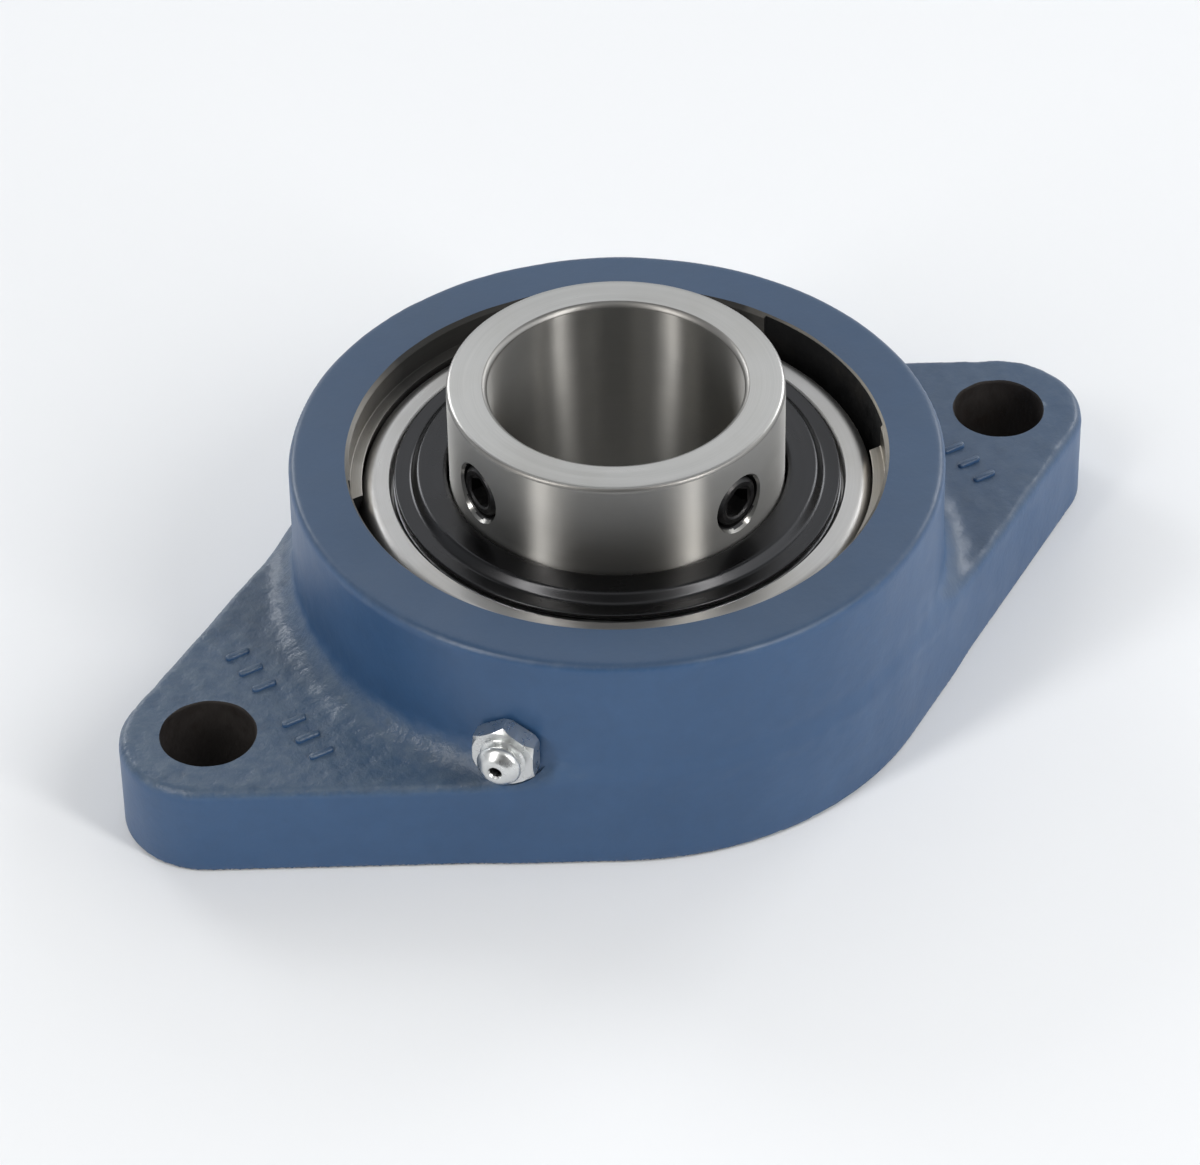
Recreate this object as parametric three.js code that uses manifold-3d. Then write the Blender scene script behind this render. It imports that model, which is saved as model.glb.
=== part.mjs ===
// Two-bolt flange mount bearing: cast rhombic housing with a self-aligning
// set-screw ball insert. Millimetres. Origin on the mounting face at the shaft
// axis, +Z along the shaft away from the mounting face, +X along the bolt line.
import * as THREE from 'three';
import { mergeVertices } from 'three/addons/utils/BufferGeometryUtils.js';
import Module from 'manifold-3d';

const wasm = await Module();
wasm.setup();

// ---------------------------------------------------------------- dimensions
const ROUND = 48;                 // facets round the large turned shapes

// housing
const EAR_CENTRE = 65;            // bolt hole centre from the shaft axis
const EAR_R = 12.5;
const FLANGE_T = 14;
const BOSS_R = 45.5;
const BOSS_TOP_R = 45.05;
const BOSS_TOP = 34.5;
const FILLET_R = 4.6;
const BOLT_HOLE_R = 6.5;
const SEAT_R = 36.4;              // spherical seat
const CENTRE_Z = 21;              // centre of the sphere and of the balls
const REAR_OPEN_R = 34.0;
const LIP_Z = 30.5;               // step at the front of the seat
const COUNTERBORE_R = 36.8;
const CHAMFER_R = 37.35;
const SEAT_GROOVE_R = 37.1;
const SEAT_GROOVE_Z0 = 15.0;
const SEAT_GROOVE_Z1 = 20.5;
const SLOT_HALF_W = 14.7;         // loading slots on the X axis
const SLOT_R = 37.1;
const SLOT_TOP = 34.2;

// grease nipple
const NIPPLE_AZ = -140.2;         // degrees
const NIPPLE_Z = 19.6;
const TAP_R = 3.1;
const SPOT_R = 5.5;
const SPOT_FACE = 45.28;           // from the shaft axis

// insert
const OUTER_R = 36.0;
const OUTER_HALF_W = 9.5;
const OUTER_LAND_R = 29.9;
const OUTER_FACE_R = 33.4;        // flat of each end face
const OUTER_CORNER = 0.9;         // height of the corner between flat and sphere
const SEAL_SEAT_R = 31.2;
const SEAL_SEAT_Z = 6.9;          // from the centre plane
const BALL_R = 5.556;
const BALL_COUNT = 9;
const PITCH_R = 26.75;
const GROOVE_R = 5.8;             // raceway groove radius
const RACE_GAP = 0.16;
const INNER_R = 23.05;
const BORE_R = 17.5;
const INNER_Z0 = 3.5;
const INNER_Z1 = 46.4;
const SCREW_Z = 37.9;
const SCREW_AZ = [-177, -75.5];
const SCREW_HOLE_R = 4.0;
const SCREW_R = 3.68;
const SCREW_IN = 18.25;           // tip, clear of the bore at rest
const SCREW_OUT = 22.6;
const OIL_Z = 15.6;

// cage
const CAGE_R0 = 24.8;
const CAGE_R1 = 29.3;
const CAGE_SHELL_IN = 6.03;
const CAGE_SHELL_OUT = 6.7;

// ---------------------------------------------------------------- helpers
const DEG = Math.PI / 180;

function toManifold(geometry) {
  const g0 = geometry.clone();
  g0.deleteAttribute('normal');
  g0.deleteAttribute('uv');
  const g = mergeVertices(g0, 1e-4);
  const p = g.attributes.position.array;
  const idx = g.index.array;
  const keep = [];
  let volume = 0;
  for (let i = 0; i < idx.length; i += 3) {
    const a = idx[i], b = idx[i + 1], c = idx[i + 2];
    if (a === b || b === c || a === c) continue;
    keep.push(a, b, c);
    const ax = p[3 * a], ay = p[3 * a + 1], az = p[3 * a + 2];
    const bx = p[3 * b], by = p[3 * b + 1], bz = p[3 * b + 2];
    const cx = p[3 * c], cy = p[3 * c + 1], cz = p[3 * c + 2];
    volume += ax * (by * cz - bz * cy) + ay * (bz * cx - bx * cz) + az * (bx * cy - by * cx);
  }
  if (volume < 0) {
    for (let i = 0; i < keep.length; i += 3) {
      const t = keep[i + 1];
      keep[i + 1] = keep[i + 2];
      keep[i + 2] = t;
    }
  }
  return new wasm.Manifold(new wasm.Mesh({
    numProp: 3,
    vertProperties: Float32Array.from(p),
    triVerts: Uint32Array.from(keep),
  }));
}

function toGeometry(m) {
  const mesh = m.getMesh();
  const g = new THREE.BufferGeometry();
  g.setAttribute('position', new THREE.BufferAttribute(Float32Array.from(mesh.vertProperties), 3));
  g.setIndex(new THREE.BufferAttribute(Uint32Array.from(mesh.triVerts), 1));
  g.computeVertexNormals();
  return g;
}

// turned shape about Z from a profile of [r, z] points; a profile that does not
// start and end on the axis is closed on itself
function turned(points, segments = ROUND) {
  const pts = points.map(([r, z]) => new THREE.Vector2(r, z));
  const onAxis = points[0][0] === 0 && points[points.length - 1][0] === 0;
  if (!onAxis) pts.push(pts[0].clone());
  const g = new THREE.LatheGeometry(pts, segments);
  g.rotateX(Math.PI / 2);
  return toManifold(g);
}

function arc(cr, cz, radius, from, to, steps) {
  const out = [];
  for (let i = 0; i <= steps; i++) {
    const a = (from + (to - from) * i / steps) * DEG;
    out.push([cr + radius * Math.cos(a), cz + radius * Math.sin(a)]);
  }
  return out;
}

// stack of equal-count convex rings, capped at both ends
function loft(rings) {
  const n = rings[0].length;
  const pos = [];
  const idx = [];
  for (const ring of rings) for (const q of ring) pos.push(...q);
  for (let k = 0; k < rings.length - 1; k++) {
    for (let i = 0; i < n; i++) {
      const j = (i + 1) % n;
      const a = k * n + i, b = k * n + j, c = (k + 1) * n + j, d = (k + 1) * n + i;
      idx.push(a, b, c, a, c, d);
    }
  }
  const capAt = (k, flip) => {
    const c = pos.length / 3;
    pos.push(0, 0, rings[k][0][2]);
    for (let i = 0; i < n; i++) {
      const j = (i + 1) % n;
      if (flip) idx.push(c, k * n + j, k * n + i);
      else idx.push(c, k * n + i, k * n + j);
    }
  };
  capAt(0, true);
  capAt(rings.length - 1, false);
  const g = new THREE.BufferGeometry();
  g.setAttribute('position', new THREE.BufferAttribute(Float32Array.from(pos), 3));
  g.setIndex(idx);
  return toManifold(g);
}

// rhombic outline: two ears tangent to the boss circle
function outline(inset, z) {
  const beta = Math.acos((BOSS_R - EAR_R) / EAR_CENTRE) / DEG;
  const out = [];
  const run = (cx, r, a0, a1, n) => {
    for (let i = 0; i <= n; i++) {
      const a = (a0 + (a1 - a0) * i / n) * DEG;
      out.push([cx + (r - inset) * Math.cos(a), (r - inset) * Math.sin(a), z]);
    }
  };
  run(EAR_CENTRE, EAR_R, -beta, beta, 9);
  run(0, BOSS_R, beta, 180 - beta, 9);
  run(-EAR_CENTRE, EAR_R, 180 - beta, 180 + beta, 9);
  run(0, BOSS_R, 180 + beta, 360 - beta, 9);
  return out;
}

// build along +Z, then aim +Z along the radius at an azimuth and height
function aimRadial(m, azimuth, z) {
  return m.rotate([0, 90, 0]).rotate([0, 0, azimuth]).translate([0, 0, z]);
}

function cylinder(r, z0, z1, segments) {
  return turned([[0, z0], [r, z0], [r, z1], [0, z1]], segments);
}

function box(x0, y0, z0, x1, y1, z1) {
  const g = new THREE.BoxGeometry(x1 - x0, y1 - y0, z1 - z0);
  g.translate((x0 + x1) / 2, (y0 + y1) / 2, (z0 + z1) / 2);
  return toManifold(g);
}

// ---------------------------------------------------------------- materials
const finish = (color, roughness, metalness) =>
  () => new THREE.MeshStandardMaterial({ color, roughness, metalness, flatShading: true });
const paint = finish(0x4f6d8c, 0.5, 0.1);
const ground = finish(0xc9ccd1, 0.25, 1.0);
const darkSteel = finish(0x2a2d31, 0.45, 0.8);
const blackOxide = finish(0x1c1d20, 0.5, 0.7);
const zinc = finish(0xc2c5c4, 0.35, 0.9);
const cageSteel = finish(0x9a9ea3, 0.4, 0.9);
const rubber = finish(0x1a1a1c, 0.85, 0.0);
const chromeSteel = finish(0xdfe3e8, 0.12, 1.0);

const root = new THREE.Group();
root.name = 'flange_mount_bearing';
function add(name, manifold, material) {
  const mesh = new THREE.Mesh(toGeometry(manifold), material());
  mesh.name = name;
  root.add(mesh);
}

// ---------------------------------------------------------------- housing
{
  const flange = loft([
    outline(0.5, 0), outline(0, 0.5), outline(0.3, 12.6), outline(0.7, 13.6), outline(1.5, FLANGE_T),
  ]);
  const boss = turned([
    [0, 0.5], [BOSS_R - 0.1, 0.5], [BOSS_TOP_R, BOSS_TOP - 1.1],
    [BOSS_TOP_R - 0.32, BOSS_TOP - 0.32], [BOSS_TOP_R - 1.1, BOSS_TOP], [0, BOSS_TOP],
  ]);
  const filletRing = turned([
    [42, 12.5], [49.9, 12.5], ...arc(49.9, FLANGE_T + FILLET_R, FILLET_R, -90, -180, 5), [42, 18.6],
  ]).intersect(loft([outline(1.3, 12), outline(1.3, 20)]));

  let body = flange.add(boss).add(filletRing);

  // plain raised cast bars where a casting carries its foundry marks
  const bars = [
    [-55.9, -12.25, -52.3, -11.35], [-55.9, -8.45, -52.3, -7.55], [-55.9, -4.65, -52.3, -3.75],
    [-55.9, 3.75, -52.3, 4.65], [-55.9, 7.55, -52.3, 8.45], [-55.9, 11.35, -52.3, 12.25],
    [52.3, -12.25, 55.9, -11.35], [52.3, -8.45, 55.9, -7.55], [52.3, -4.65, 55.9, -3.75],
  ];
  for (const [x0, y0, x1, y1] of bars) body = body.add(box(x0, y0, 13.5, x1, y1, 14.5));

  const sphereAt = (z) => Math.sqrt(SEAT_R * SEAT_R - (z - CENTRE_Z) * (z - CENTRE_Z));
  const seatArc = (z0, z1, steps) => {
    const a0 = Math.asin((z0 - CENTRE_Z) / SEAT_R) / DEG;
    const a1 = Math.asin((z1 - CENTRE_Z) / SEAT_R) / DEG;
    return arc(0, CENTRE_Z, SEAT_R, a0, a1, steps);
  };
  const zRear = CENTRE_Z - Math.sqrt(SEAT_R * SEAT_R - REAR_OPEN_R * REAR_OPEN_R);
  const seatCut = turned([
    [0, -1], [REAR_OPEN_R + 1.8, -1], [REAR_OPEN_R + 0.8, 0], [REAR_OPEN_R, 0.8],
    ...seatArc(zRear, SEAT_GROOVE_Z0, 3),
    [SEAT_GROOVE_R, SEAT_GROOVE_Z0], [SEAT_GROOVE_R, SEAT_GROOVE_Z1],
    ...seatArc(SEAT_GROOVE_Z1, LIP_Z, 4),
    [COUNTERBORE_R, LIP_Z], [COUNTERBORE_R, BOSS_TOP - 0.8], [CHAMFER_R, BOSS_TOP],
    [CHAMFER_R, BOSS_TOP + 1], [0, BOSS_TOP + 1],
  ]);
  body = body.subtract(seatCut);

  // two loading slots through the front lip
  const slots = cylinder(SLOT_R, CENTRE_Z, SLOT_TOP, ROUND)
    .intersect(box(-45, -SLOT_HALF_W, 15, 45, SLOT_HALF_W, 40));
  body = body.subtract(slots);

  for (const s of [-1, 1]) {
    body = body.subtract(cylinder(BOLT_HOLE_R, -1, FLANGE_T + 1, 32).translate([s * EAR_CENTRE, 0, 0]));
  }
  body = body.subtract(aimRadial(cylinder(TAP_R, 34, 48, 16), NIPPLE_AZ, NIPPLE_Z));
  // machined spot face under the nipple's hexagon
  body = body.subtract(aimRadial(cylinder(SPOT_R, SPOT_FACE, 60, 24), NIPPLE_AZ, NIPPLE_Z));
  add('housing', body, paint);
}

// ---------------------------------------------------------------- grease nipple
{
  // distances are along the nipple's own axis, measured as radius from the shaft axis
  const hex = new THREE.CylinderGeometry(4.9, 4.9, 2.8, 6);
  hex.rotateX(Math.PI / 2);
  hex.translate(0, 0, 47.0);
  let nipple = turned([
    [0, 38.6], [2.75, 38.6], [2.75, 45.8], [3.4, 48.4], [2.2, 48.6], [2.2, 48.9],
    [3.05, 49.5], [3.05, 50.0], [1.9, 51.4], [0, 51.4],
  ], 14).add(toManifold(hex));
  nipple = nipple.subtract(turned([
    [0, 37], [1.0, 37], [1.0, 43.6], [1.55, 44.0], [1.55, 50.0], [0.8, 50.75], [0.8, 53], [0, 53],
  ], 12));
  add('grease_nipple_body', aimRadial(nipple, NIPPLE_AZ, NIPPLE_Z), zinc);

  const ball = new THREE.SphereGeometry(1.1, 10, 6);
  add('nipple_check_ball', aimRadial(toManifold(ball).translate([0, 0, 48.85]), NIPPLE_AZ, NIPPLE_Z), chromeSteel);

  // small coil behind the check ball
  class Helix extends THREE.Curve {
    getPoint(t, target = new THREE.Vector3()) {
      const a = t * 4 * 2 * Math.PI;
      return target.set(1.0 * Math.cos(a), 1.0 * Math.sin(a), 44.55 + 2.75 * t);
    }
  }
  const wire = new THREE.Shape();
  for (let i = 0; i < 5; i++) {
    const a = (i / 5) * 2 * Math.PI;
    const x = 0.17 * Math.cos(a), y = 0.17 * Math.sin(a);
    if (i === 0) wire.moveTo(x, y); else wire.lineTo(x, y);
  }
  wire.closePath();
  const coil = new THREE.ExtrudeGeometry(wire, { steps: 28, bevelEnabled: false, extrudePath: new Helix() });
  add('nipple_spring', aimRadial(toManifold(coil), NIPPLE_AZ, NIPPLE_Z), zinc);
}

// ---------------------------------------------------------------- insert rings
{
  const z0 = CENTRE_Z - OUTER_HALF_W, z1 = CENTRE_Z + OUTER_HALF_W;
  const aEnd = Math.asin((OUTER_HALF_W - OUTER_CORNER) / OUTER_R) / DEG;
  const grooveC = PITCH_R + BALL_R + RACE_GAP - GROOVE_R;
  const aLand = Math.acos((OUTER_LAND_R - grooveC) / GROOVE_R) / DEG;
  const rOil = Math.sqrt(OUTER_R * OUTER_R - (OIL_Z - CENTRE_Z) * (OIL_Z - CENTRE_Z));
  const aOil0 = Math.asin((OIL_Z - 1 - CENTRE_Z) / OUTER_R) / DEG;
  const aOil1 = Math.asin((OIL_Z + 1 - CENTRE_Z) / OUTER_R) / DEG;
  const profile = [
    ...arc(0, CENTRE_Z, OUTER_R, -aEnd, aOil0, 1),
    [rOil - 0.7, OIL_Z - 0.8], [rOil - 0.7, OIL_Z + 0.8],
    ...arc(0, CENTRE_Z, OUTER_R, aOil1, aEnd, 5),
    [OUTER_FACE_R, z1], [SEAL_SEAT_R, z1],
    [SEAL_SEAT_R, CENTRE_Z + SEAL_SEAT_Z], [OUTER_LAND_R, CENTRE_Z + SEAL_SEAT_Z],
    ...arc(grooveC, CENTRE_Z, GROOVE_R, aLand, -aLand, 6),
    [OUTER_LAND_R, CENTRE_Z - SEAL_SEAT_Z], [SEAL_SEAT_R, CENTRE_Z - SEAL_SEAT_Z], [SEAL_SEAT_R, z0], [OUTER_FACE_R, z0],
  ];
  let ring = turned(profile);
  ring = ring.subtract(aimRadial(cylinder(0.85, 28, 38, 10), NIPPLE_AZ + 3, OIL_Z));
  add('outer_ring', ring, ground);
}
{
  const grooveC = PITCH_R - BALL_R - RACE_GAP + GROOVE_R;
  const aLand = Math.acos((grooveC - INNER_R) / GROOVE_R) / DEG;
  let ring = turned([
    [BORE_R + 0.6, INNER_Z0], [INNER_R - 0.5, INNER_Z0], [INNER_R, INNER_Z0 + 0.5],
    ...arc(grooveC, CENTRE_Z, GROOVE_R, 180 + aLand, 180 - aLand, 6),
    [INNER_R, INNER_Z1 - 0.5], [INNER_R - 0.5, INNER_Z1], [BORE_R + 0.6, INNER_Z1],
    [BORE_R, INNER_Z1 - 0.6], [BORE_R, INNER_Z0 + 0.6],
  ]);
  for (const az of SCREW_AZ) {
    ring = ring.subtract(aimRadial(cylinder(SCREW_HOLE_R, 14, 28, 20), az, SCREW_Z));
  }
  add('inner_ring', ring, ground);
}

// ---------------------------------------------------------------- balls
const ballAngle = (i) => 20 + i * 360 / BALL_COUNT;
for (let i = 0; i < BALL_COUNT; i++) {
  const g = new THREE.SphereGeometry(BALL_R, 14, 8);
  g.rotateX(Math.PI / 2);
  const a = ballAngle(i) * DEG;
  add(`ball_${i + 1}`, toManifold(g).translate([PITCH_R * Math.cos(a), PITCH_R * Math.sin(a), CENTRE_Z]), chromeSteel);
}

// ---------------------------------------------------------------- cage
{
  const ribbon = turned([[CAGE_R0, 0.15], [CAGE_R1, 0.15], [CAGE_R1, 0.95], [CAGE_R0, 0.95]], 27);
  const band = turned([[CAGE_R0, 0.15], [CAGE_R1, 0.15], [CAGE_R1, 6.5], [CAGE_R0, 6.5]], 27);
  const shellOut = new THREE.SphereGeometry(CAGE_SHELL_OUT, 12, 6);
  const shellIn = new THREE.SphereGeometry(CAGE_SHELL_IN, 12, 6);
  shellOut.rotateX(Math.PI / 2);
  shellIn.rotateX(Math.PI / 2);
  let half = ribbon;
  for (let i = 0; i < BALL_COUNT; i++) {
    const a = ballAngle(i) * DEG;
    const at = [PITCH_R * Math.cos(a), PITCH_R * Math.sin(a), 0];
    half = half.add(toManifold(shellOut).translate(at).intersect(band));
  }
  for (let i = 0; i < BALL_COUNT; i++) {
    const a = ballAngle(i) * DEG;
    const at = [PITCH_R * Math.cos(a), PITCH_R * Math.sin(a), 0];
    half = half.subtract(toManifold(shellIn).translate(at));
    const b = (ballAngle(i) + 20) * DEG;
    half = half.subtract(cylinder(1.15, -1, 3, 8).translate([PITCH_R * Math.cos(b), PITCH_R * Math.sin(b), 0]));
  }
  add('cage_front', half.translate([0, 0, CENTRE_Z]), cageSteel);
  // mirrored about the plane of the ball centres by a half turn about the line to ball 1
  const rear = half.rotate([0, 0, -ballAngle(0)]).rotate([180, 0, 0]).rotate([0, 0, ballAngle(0)]);
  add('cage_rear', rear.translate([0, 0, CENTRE_Z]), cageSteel);

  for (let i = 0; i < BALL_COUNT; i++) {
    const b = (ballAngle(i) + 20) * DEG;
    const rivet = turned([
      [0, -1.75], [1.1, -1.75], [1.45, -1.25], [0.85, -1.25], [0.85, 1.25], [1.45, 1.25], [1.1, 1.75], [0, 1.75],
    ], 7);
    add(`cage_rivet_${i + 1}`, rivet.translate([PITCH_R * Math.cos(b), PITCH_R * Math.sin(b), CENTRE_Z]), zinc);
  }
}

// ---------------------------------------------------------------- seals and slingers
function seals(side) {
  const z = (h) => CENTRE_Z + side * h;
  const flip = (pts) => pts.map(([r, h]) => [r, z(h)]);
  const shield = turned(flip([
    [26.0, 7.85], [29.8, 7.85], [30.85, 7.3], [30.85, 8.9], [30.25, 8.9], [30.25, 8.45], [26.0, 8.45],
  ]), 36);
  const lip = turned(flip([
    [23.45, 7.0], [24.15, 6.85], [28.2, 6.95], [28.2, 7.5], [24.45, 7.5], [24.45, 8.5], [23.8, 8.6], [23.45, 7.5],
  ]), 36);
  const slinger = turned(flip([
    [23.4, 9.0], [24.15, 9.0], [24.15, 10.55], [27.2, 10.55], [27.7, 9.35], [30.7, 9.35], [30.7, 10.1],
    [28.2, 10.1], [27.7, 11.3], [23.4, 11.3],
  ]), 36);
  return { shield, lip, slinger };
}
{
  const front = seals(1), rear = seals(-1);
  add('seal_front_shield', front.shield, cageSteel);
  add('seal_front_lip', front.lip, rubber);
  add('seal_rear_shield', rear.shield, cageSteel);
  add('seal_rear_lip', rear.lip, rubber);
  add('slinger_front', front.slinger, darkSteel);
  add('slinger_rear', rear.slinger, darkSteel);
}

// ---------------------------------------------------------------- set screws
SCREW_AZ.forEach((az, i) => {
  const socket = new THREE.CylinderGeometry(2.3, 2.3, 4, 6);
  socket.rotateX(Math.PI / 2);
  socket.translate(0, 0, SCREW_OUT - 2.6 + 2);
  const screw = turned([
    [0, SCREW_IN + 0.9], [1.5, SCREW_IN], [2.3, SCREW_IN], [SCREW_R, SCREW_IN + 1.2],
    [SCREW_R, SCREW_OUT - 0.5], [SCREW_R - 0.5, SCREW_OUT], [0, SCREW_OUT],
  ], 18).subtract(toManifold(socket));
  add(`set_screw_${i + 1}`, aimRadial(screw, az, SCREW_Z), blackOxide);
});

export default root;
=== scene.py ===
import bpy
import bmesh
import math
import numpy as np
from mathutils import Matrix, Vector


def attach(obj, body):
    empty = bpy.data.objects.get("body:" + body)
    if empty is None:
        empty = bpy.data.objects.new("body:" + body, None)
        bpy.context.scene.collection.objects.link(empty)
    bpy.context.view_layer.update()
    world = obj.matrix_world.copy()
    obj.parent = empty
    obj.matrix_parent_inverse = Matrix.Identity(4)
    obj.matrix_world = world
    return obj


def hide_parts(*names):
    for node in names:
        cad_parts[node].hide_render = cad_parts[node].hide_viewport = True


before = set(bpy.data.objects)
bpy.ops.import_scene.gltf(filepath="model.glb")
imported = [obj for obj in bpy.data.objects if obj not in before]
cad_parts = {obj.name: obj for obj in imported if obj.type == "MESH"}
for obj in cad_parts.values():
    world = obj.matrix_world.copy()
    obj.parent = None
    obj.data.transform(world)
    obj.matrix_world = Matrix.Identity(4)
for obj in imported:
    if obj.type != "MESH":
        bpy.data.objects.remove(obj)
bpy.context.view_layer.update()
MM = 0.001

# ------------------------------------------------------------------ camera
AZ, EL, ROLL = math.radians(-31.255), math.radians(40.263), math.radians(-0.91)
DIST, TARGET = 0.656531, Vector((0.00001, 0.000007, 0.015))
back = Vector((math.sin(AZ) * math.cos(EL), -math.cos(AZ) * math.cos(EL), math.sin(EL)))
fwd = -back
right = fwd.cross(Vector((0, 0, 1))).normalized()
up = right.cross(fwd)
cx = math.cos(ROLL) * right + math.sin(ROLL) * up
cy = -math.sin(ROLL) * right + math.cos(ROLL) * up
cam_data = bpy.data.cameras.new("camera")
cam = bpy.data.objects.new("camera", cam_data)
bpy.context.scene.collection.objects.link(cam)
m = Matrix((cx, cy, back)).transposed().to_4x4()
m.translation = TARGET + back * DIST
cam.matrix_world = m
cam_data.sensor_width = 36.0
cam_data.lens = 140.93
cam_data.shift_x = -0.0155
cam_data.shift_y = -0.0198
cam_data.clip_start = 0.01
cam_data.clip_end = 20.0
bpy.context.scene.camera = cam


# ------------------------------------------------------------------ mesh tools
def link(name, verts_mm, faces, sharp=35.0):
    me = bpy.data.meshes.new(name)
    me.from_pydata([tuple(v) for v in (np.asarray(verts_mm, dtype=float) * MM)], [], [tuple(f) for f in faces])
    me.validate()
    ob = bpy.data.objects.new(name, me)
    bpy.context.scene.collection.objects.link(ob)
    bm = bmesh.new()
    bm.from_mesh(me)
    bmesh.ops.recalc_face_normals(bm, faces=bm.faces)
    if bm.calc_volume(signed=True) < 0:
        bmesh.ops.reverse_faces(bm, faces=bm.faces)
    bm.to_mesh(me)
    bm.free()
    shade(ob, sharp)
    return ob


def shade(ob, sharp):
    me = ob.data
    me.polygons.foreach_set("use_smooth", [True] * len(me.polygons))
    me.set_sharp_from_angle(angle=math.radians(sharp))
    me.update()


def fillet(profile, r, steps=3, closed=True):
    """Rounds each corner of a profile of (r, z) points."""
    n = len(profile)
    out = []
    for i in range(n):
        p = np.array(profile[i], dtype=float)
        if not closed and i in (0, n - 1):
            out.append(tuple(p))
            continue
        a = np.array(profile[i - 1], dtype=float) - p
        b = np.array(profile[(i + 1) % n], dtype=float) - p
        la, lb = np.linalg.norm(a), np.linalg.norm(b)
        a, b = a / la, b / lb
        half = 0.5 * math.acos(max(-1.0, min(1.0, float(a @ b))))
        if half > math.radians(80):
            out.append(tuple(p))
            continue
        t = min(r / max(math.tan(half), 0.05), 0.42 * la, 0.42 * lb)
        s, e = p + a * t, p + b * t
        for k in range(steps + 1):
            u = k / steps
            out.append(tuple((1 - u) ** 2 * s + 2 * u * (1 - u) * p + u * u * e))
    return out


def arc(cr, cz, radius, a0, a1, n):
    return [
        (cr + radius * math.cos(math.radians(a0 + (a1 - a0) * i / n)),
         cz + radius * math.sin(math.radians(a0 + (a1 - a0) * i / n)))
        for i in range(n + 1)
    ]


def supported(profile, closed, d=0.22):
    """Adds a point close to each end of every long run, so that rounded edges don't shade the flats beside them."""
    n = len(profile)
    out = []
    for i in range(n if closed else n - 1):
        p, q = np.array(profile[i], dtype=float), np.array(profile[(i + 1) % n], dtype=float)
        out.append(tuple(p))
        length = np.linalg.norm(q - p)
        if length > 3 * d:
            out.append(tuple(p + (q - p) * (d / length)))
            out.append(tuple(q - (q - p) * (d / length)))
    if not closed:
        out.append(tuple(profile[-1]))
    return out


def turned_mesh(profile, seg, d=0.22):
    """Verts and faces of a turned solid about Z. A profile that starts and ends on the axis is capped there."""
    prof = list(profile)
    prof = supported(prof, not (abs(prof[0][0]) < 1e-9 and abs(prof[-1][0]) < 1e-9), d)
    on_axis = abs(prof[0][0]) < 1e-9 and abs(prof[-1][0]) < 1e-9
    verts, faces = [], []
    ang = [2 * math.pi * i / seg for i in range(seg)]
    if on_axis:
        inner = prof[1:-1]
        for r, z in inner:
            verts += [(r * math.cos(a), r * math.sin(a), z) for a in ang]
        n = len(inner)
        for k in range(n - 1):
            for i in range(seg):
                j = (i + 1) % seg
                faces.append((k * seg + i, k * seg + j, (k + 1) * seg + j, (k + 1) * seg + i))
        a = len(verts)
        verts.append((0, 0, prof[0][1]))
        verts.append((0, 0, prof[-1][1]))
        for i in range(seg):
            j = (i + 1) % seg
            faces.append((a, j, i))
            faces.append((a + 1, (n - 1) * seg + i, (n - 1) * seg + j))
    else:
        n = len(prof)
        for r, z in prof:
            verts += [(r * math.cos(a), r * math.sin(a), z) for a in ang]
        for k in range(n):
            q = (k + 1) % n
            for i in range(seg):
                j = (i + 1) % seg
                faces.append((k * seg + i, k * seg + j, q * seg + j, q * seg + i))
    return np.array(verts, dtype=float), faces


def aim_radial(verts, azimuth, z):
    """Local +Z goes out along the radius at that azimuth and height."""
    v = np.asarray(verts, dtype=float)
    out = np.stack([v[:, 2], v[:, 1], -v[:, 0]], axis=1)
    c, s = math.cos(math.radians(azimuth)), math.sin(math.radians(azimuth))
    x = out[:, 0] * c - out[:, 1] * s
    y = out[:, 0] * s + out[:, 1] * c
    return np.stack([x, y, out[:, 2] + z], axis=1)


def prism_mesh(r, sides, z0, z1, turn=0.0):
    v = []
    for z in (z0, z1):
        v += [(r * math.cos(turn + 2 * math.pi * i / sides), r * math.sin(turn + 2 * math.pi * i / sides), z) for i in range(sides)]
    f = [tuple(range(sides - 1, -1, -1)), tuple(range(sides, 2 * sides))]
    f += [(i, (i + 1) % sides, sides + (i + 1) % sides, sides + i) for i in range(sides)]
    return np.array(v, dtype=float), f


def joined(name, parts, sharp=35.0):
    verts, faces = [], []
    for v, f in parts:
        o = len(verts)
        verts += [tuple(q) for q in v]
        faces += [tuple(i + o for i in q) for q in f]
    return link(name, verts, faces, sharp)


def boolean(ob, cutter, operation="DIFFERENCE", keep=False):
    mod = ob.modifiers.new("cut", "BOOLEAN")
    mod.operation = operation
    mod.solver = "EXACT"
    mod.object = cutter
    dg = bpy.context.evaluated_depsgraph_get()
    me = bpy.data.meshes.new_from_object(ob.evaluated_get(dg), preserve_all_data_layers=True, depsgraph=dg)
    ob.modifiers.remove(mod)
    old = ob.data
    ob.data = me
    bpy.data.meshes.remove(old)
    if not keep:
        data = cutter.data
        bpy.data.objects.remove(cutter, do_unlink=True)
        bpy.data.meshes.remove(data)


def place(ob, body, *nodes, slot=None, material=None):
    if material is not None:
        ob.data.materials.clear()
        ob.data.materials.append(material)
    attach(ob, body)
    if nodes:
        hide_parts(*nodes)
    return ob


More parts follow.
